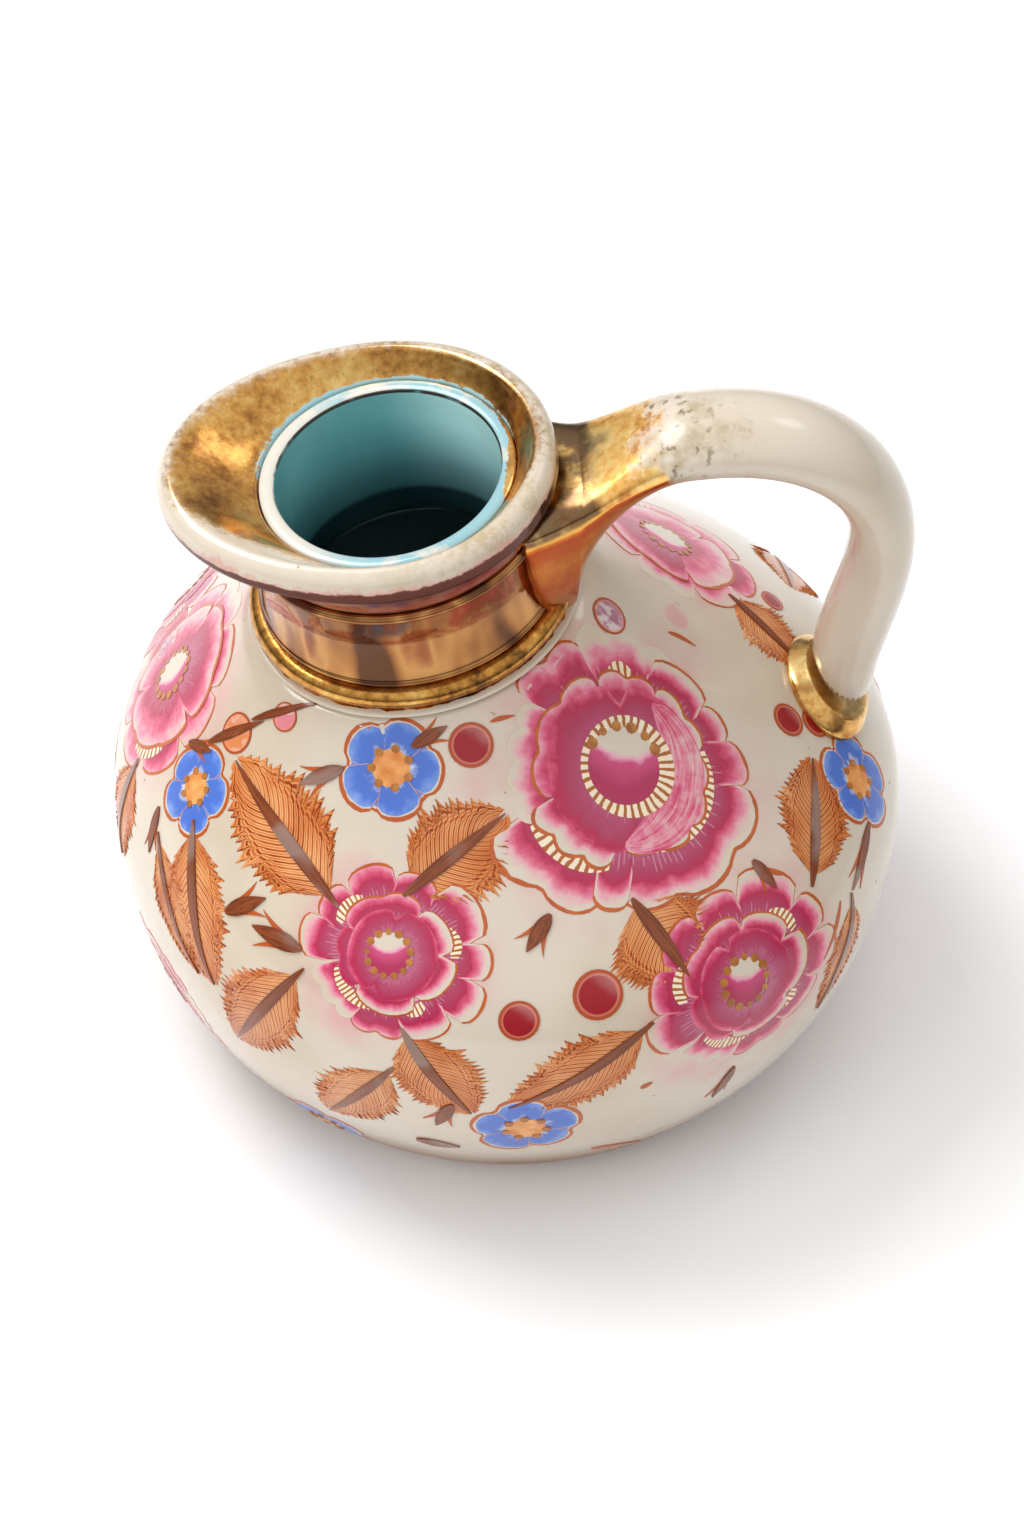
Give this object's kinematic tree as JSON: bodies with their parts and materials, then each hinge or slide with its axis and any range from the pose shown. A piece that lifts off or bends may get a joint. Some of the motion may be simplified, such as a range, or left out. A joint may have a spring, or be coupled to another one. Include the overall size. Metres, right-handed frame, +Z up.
{
  "type": "ewer",
  "caption": "Glazed ceramic ewer with a round flower-painted pot, a leaning gilded neck, an almond-shaped pouring lip round a turquoise throat, and a loop handle.",
  "frame": {"origin": "middle of the foot ring's standing face, on the pot's axis", "axes": "+Z up along the pot's axis, -X towards the spout, +X towards the handle"},
  "size_m": [0.13, 0.13, 0.127],
  "materials": {
    "ivory_glaze": "glossy ivory glaze with painted flowers",
    "gilding": "worn mirror gilding",
    "turquoise_glaze": "glossy turquoise glaze",
    "bare_clay": "matt bare clay"
  },
  "bodies": {
    "root": {"body": "ivory_glaze", "foot_ring": "bare_clay", "neck": "gilding", "throat_liner": "turquoise_glaze", "neck_bead": "gilding", "pouring_lip": "gilding", "handle": "ivory_glaze", "handle_root": "gilding", "handle_collar": "gilding"}
  },
  "joints": []
}
